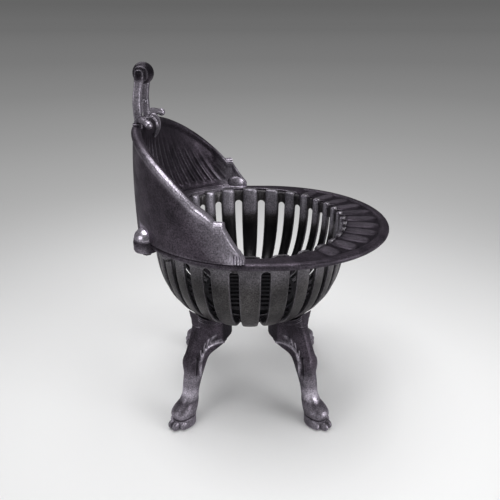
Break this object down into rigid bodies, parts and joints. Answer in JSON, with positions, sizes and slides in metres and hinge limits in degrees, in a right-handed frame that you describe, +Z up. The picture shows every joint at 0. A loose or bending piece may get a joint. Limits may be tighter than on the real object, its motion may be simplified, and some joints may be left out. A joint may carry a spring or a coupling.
{
  "type": "fire basket",
  "caption": "Free-standing round slatted fire basket in cast iron, with a wide oval rim, a curved back hood with a carrying handle, paw-footed legs and a loose bottom grate.",
  "frame": {"origin": "on the hearth, under the middle of the basket's outline", "axes": "+Z up, the front of the basket faces -Y, +X to the right seen from the front"},
  "size_m": [0.3826, 0.4244, 0.6],
  "materials": {
    "black_iron": "black graphite polish over a fine cast grain",
    "fired_iron": "matt black cast iron",
    "dark_steel": "blackened steel"
  },
  "bodies": {
    "basket": {"bowl": "fired_iron", "rim": "black_iron", "hood": "black_iron", "handle": "black_iron", "crest_leaf": "black_iron", "leg_front_left": "black_iron", "leg_front_right": "black_iron", "leg_rear_left": "black_iron", "leg_rear_right": "black_iron", "leg_bolts": "dark_steel", "leg_washers": "dark_steel", "rim_bolts": "dark_steel", "rim_washers": "dark_steel", "dome_bolts": "dark_steel", "dome_washers": "dark_steel", "wing_screws": "dark_steel", "wing_washers": "dark_steel", "handle_studs": "dark_steel", "crest_screw": "dark_steel"},
    "grate": {"bottom_grate": "fired_iron"}
  },
  "joints": [
    {"name": "grate_lift", "type": "slide", "parent": "basket", "child": "grate", "axis": [0, 0, 1], "range_m": [0, 0.15]}
  ]
}
